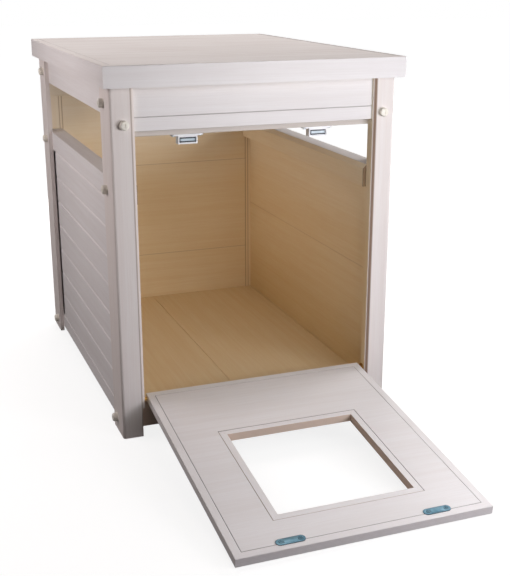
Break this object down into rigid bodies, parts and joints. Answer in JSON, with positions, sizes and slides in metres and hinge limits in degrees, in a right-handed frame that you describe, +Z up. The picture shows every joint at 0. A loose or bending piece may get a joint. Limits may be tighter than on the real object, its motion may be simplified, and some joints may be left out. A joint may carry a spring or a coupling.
{
  "type": "litter box table",
  "caption": "Side table that hides a litter tray: grooved board cabinet with side windows and a drop-down front door with a square cat entrance on pin hinges, held shut by magnetic catches.",
  "frame": {"origin": "on the floor, at the centre of the box around the table with its door open", "axes": "+Z up, the door faces -Y, +X to the right seen from the front"},
  "size_m": [0.462, 0.99, 0.56],
  "materials": {
    "frame_board": "matt antique white wood composite with a fine grain",
    "top_board": "matt antique white wood composite, grain along the width",
    "door_board": "matt antique white wood composite with channel trim",
    "inner_board": "matt wood composite, inside face",
    "bolt_plastic": "cream moulded plastic",
    "catch_plastic": "white moulded plastic",
    "magnet": "plated ferrite magnet",
    "steel": "zinc plated steel",
    "zinc": "blue passivated zinc plate",
    "brass": "plain turned brass"
  },
  "bodies": {
    "cabinet": {"back_bottom_rail": "frame_board", "back_lower_board": "frame_board", "back_middle_board": "frame_board", "back_top_rail": "frame_board", "back_upper_board": "frame_board", "catch_magnets": "magnet", "catch_pole_plates": "steel", "catch_screws": "steel", "floor_board_left": "inner_board", "floor_board_right": "inner_board", "floor_cleats": "inner_board", "front_bottom_rail": "frame_board", "front_stile_bolts": "bolt_plastic", "header_board": "frame_board", "hinge_bushes": "brass", "left_bottom_rail": "frame_board", "left_catch_housing": "catch_plastic", "left_lower_board": "frame_board", "left_side_bolts": "bolt_plastic", "left_sill_rail": "frame_board", "left_top_rail": "frame_board", "left_upper_board": "frame_board", "post_front_left": "frame_board", "post_front_right": "frame_board", "post_rear_left": "frame_board", "post_rear_right": "frame_board", "rear_stile_bolts": "bolt_plastic", "rear_tie_rail": "frame_board", "right_bottom_rail": "frame_board", "right_catch_housing": "catch_plastic", "right_lower_board": "frame_board", "right_side_bolts": "bolt_plastic", "right_sill_rail": "frame_board", "right_top_rail": "frame_board", "right_upper_board": "frame_board", "stop_rail": "frame_board", "top_battens": "inner_board", "top_dowels": "inner_board", "top_panel": "top_board", "top_trim_front": "top_board", "top_trim_left": "top_board", "top_trim_rear": "top_board", "top_trim_right": "top_board"},
    "door": {"cutout_trim_free": "door_board", "cutout_trim_hinge": "door_board", "cutout_trim_left": "door_board", "cutout_trim_right": "door_board", "door_panel": "door_board", "door_trim_free": "door_board", "door_trim_hinge": "door_board", "door_trim_left": "door_board", "door_trim_right": "door_board", "hinge_pins": "brass", "left_strike_plate": "zinc", "right_strike_plate": "zinc", "strike_screws": "steel"}
  },
  "joints": [
    {"name": "door_hinge", "type": "hinge", "parent": "cabinet", "child": "door", "pos_m": [0, -0.09155, 0.057], "axis": [-1, 0, 0], "range_deg": [0, 97.2]}
  ]
}
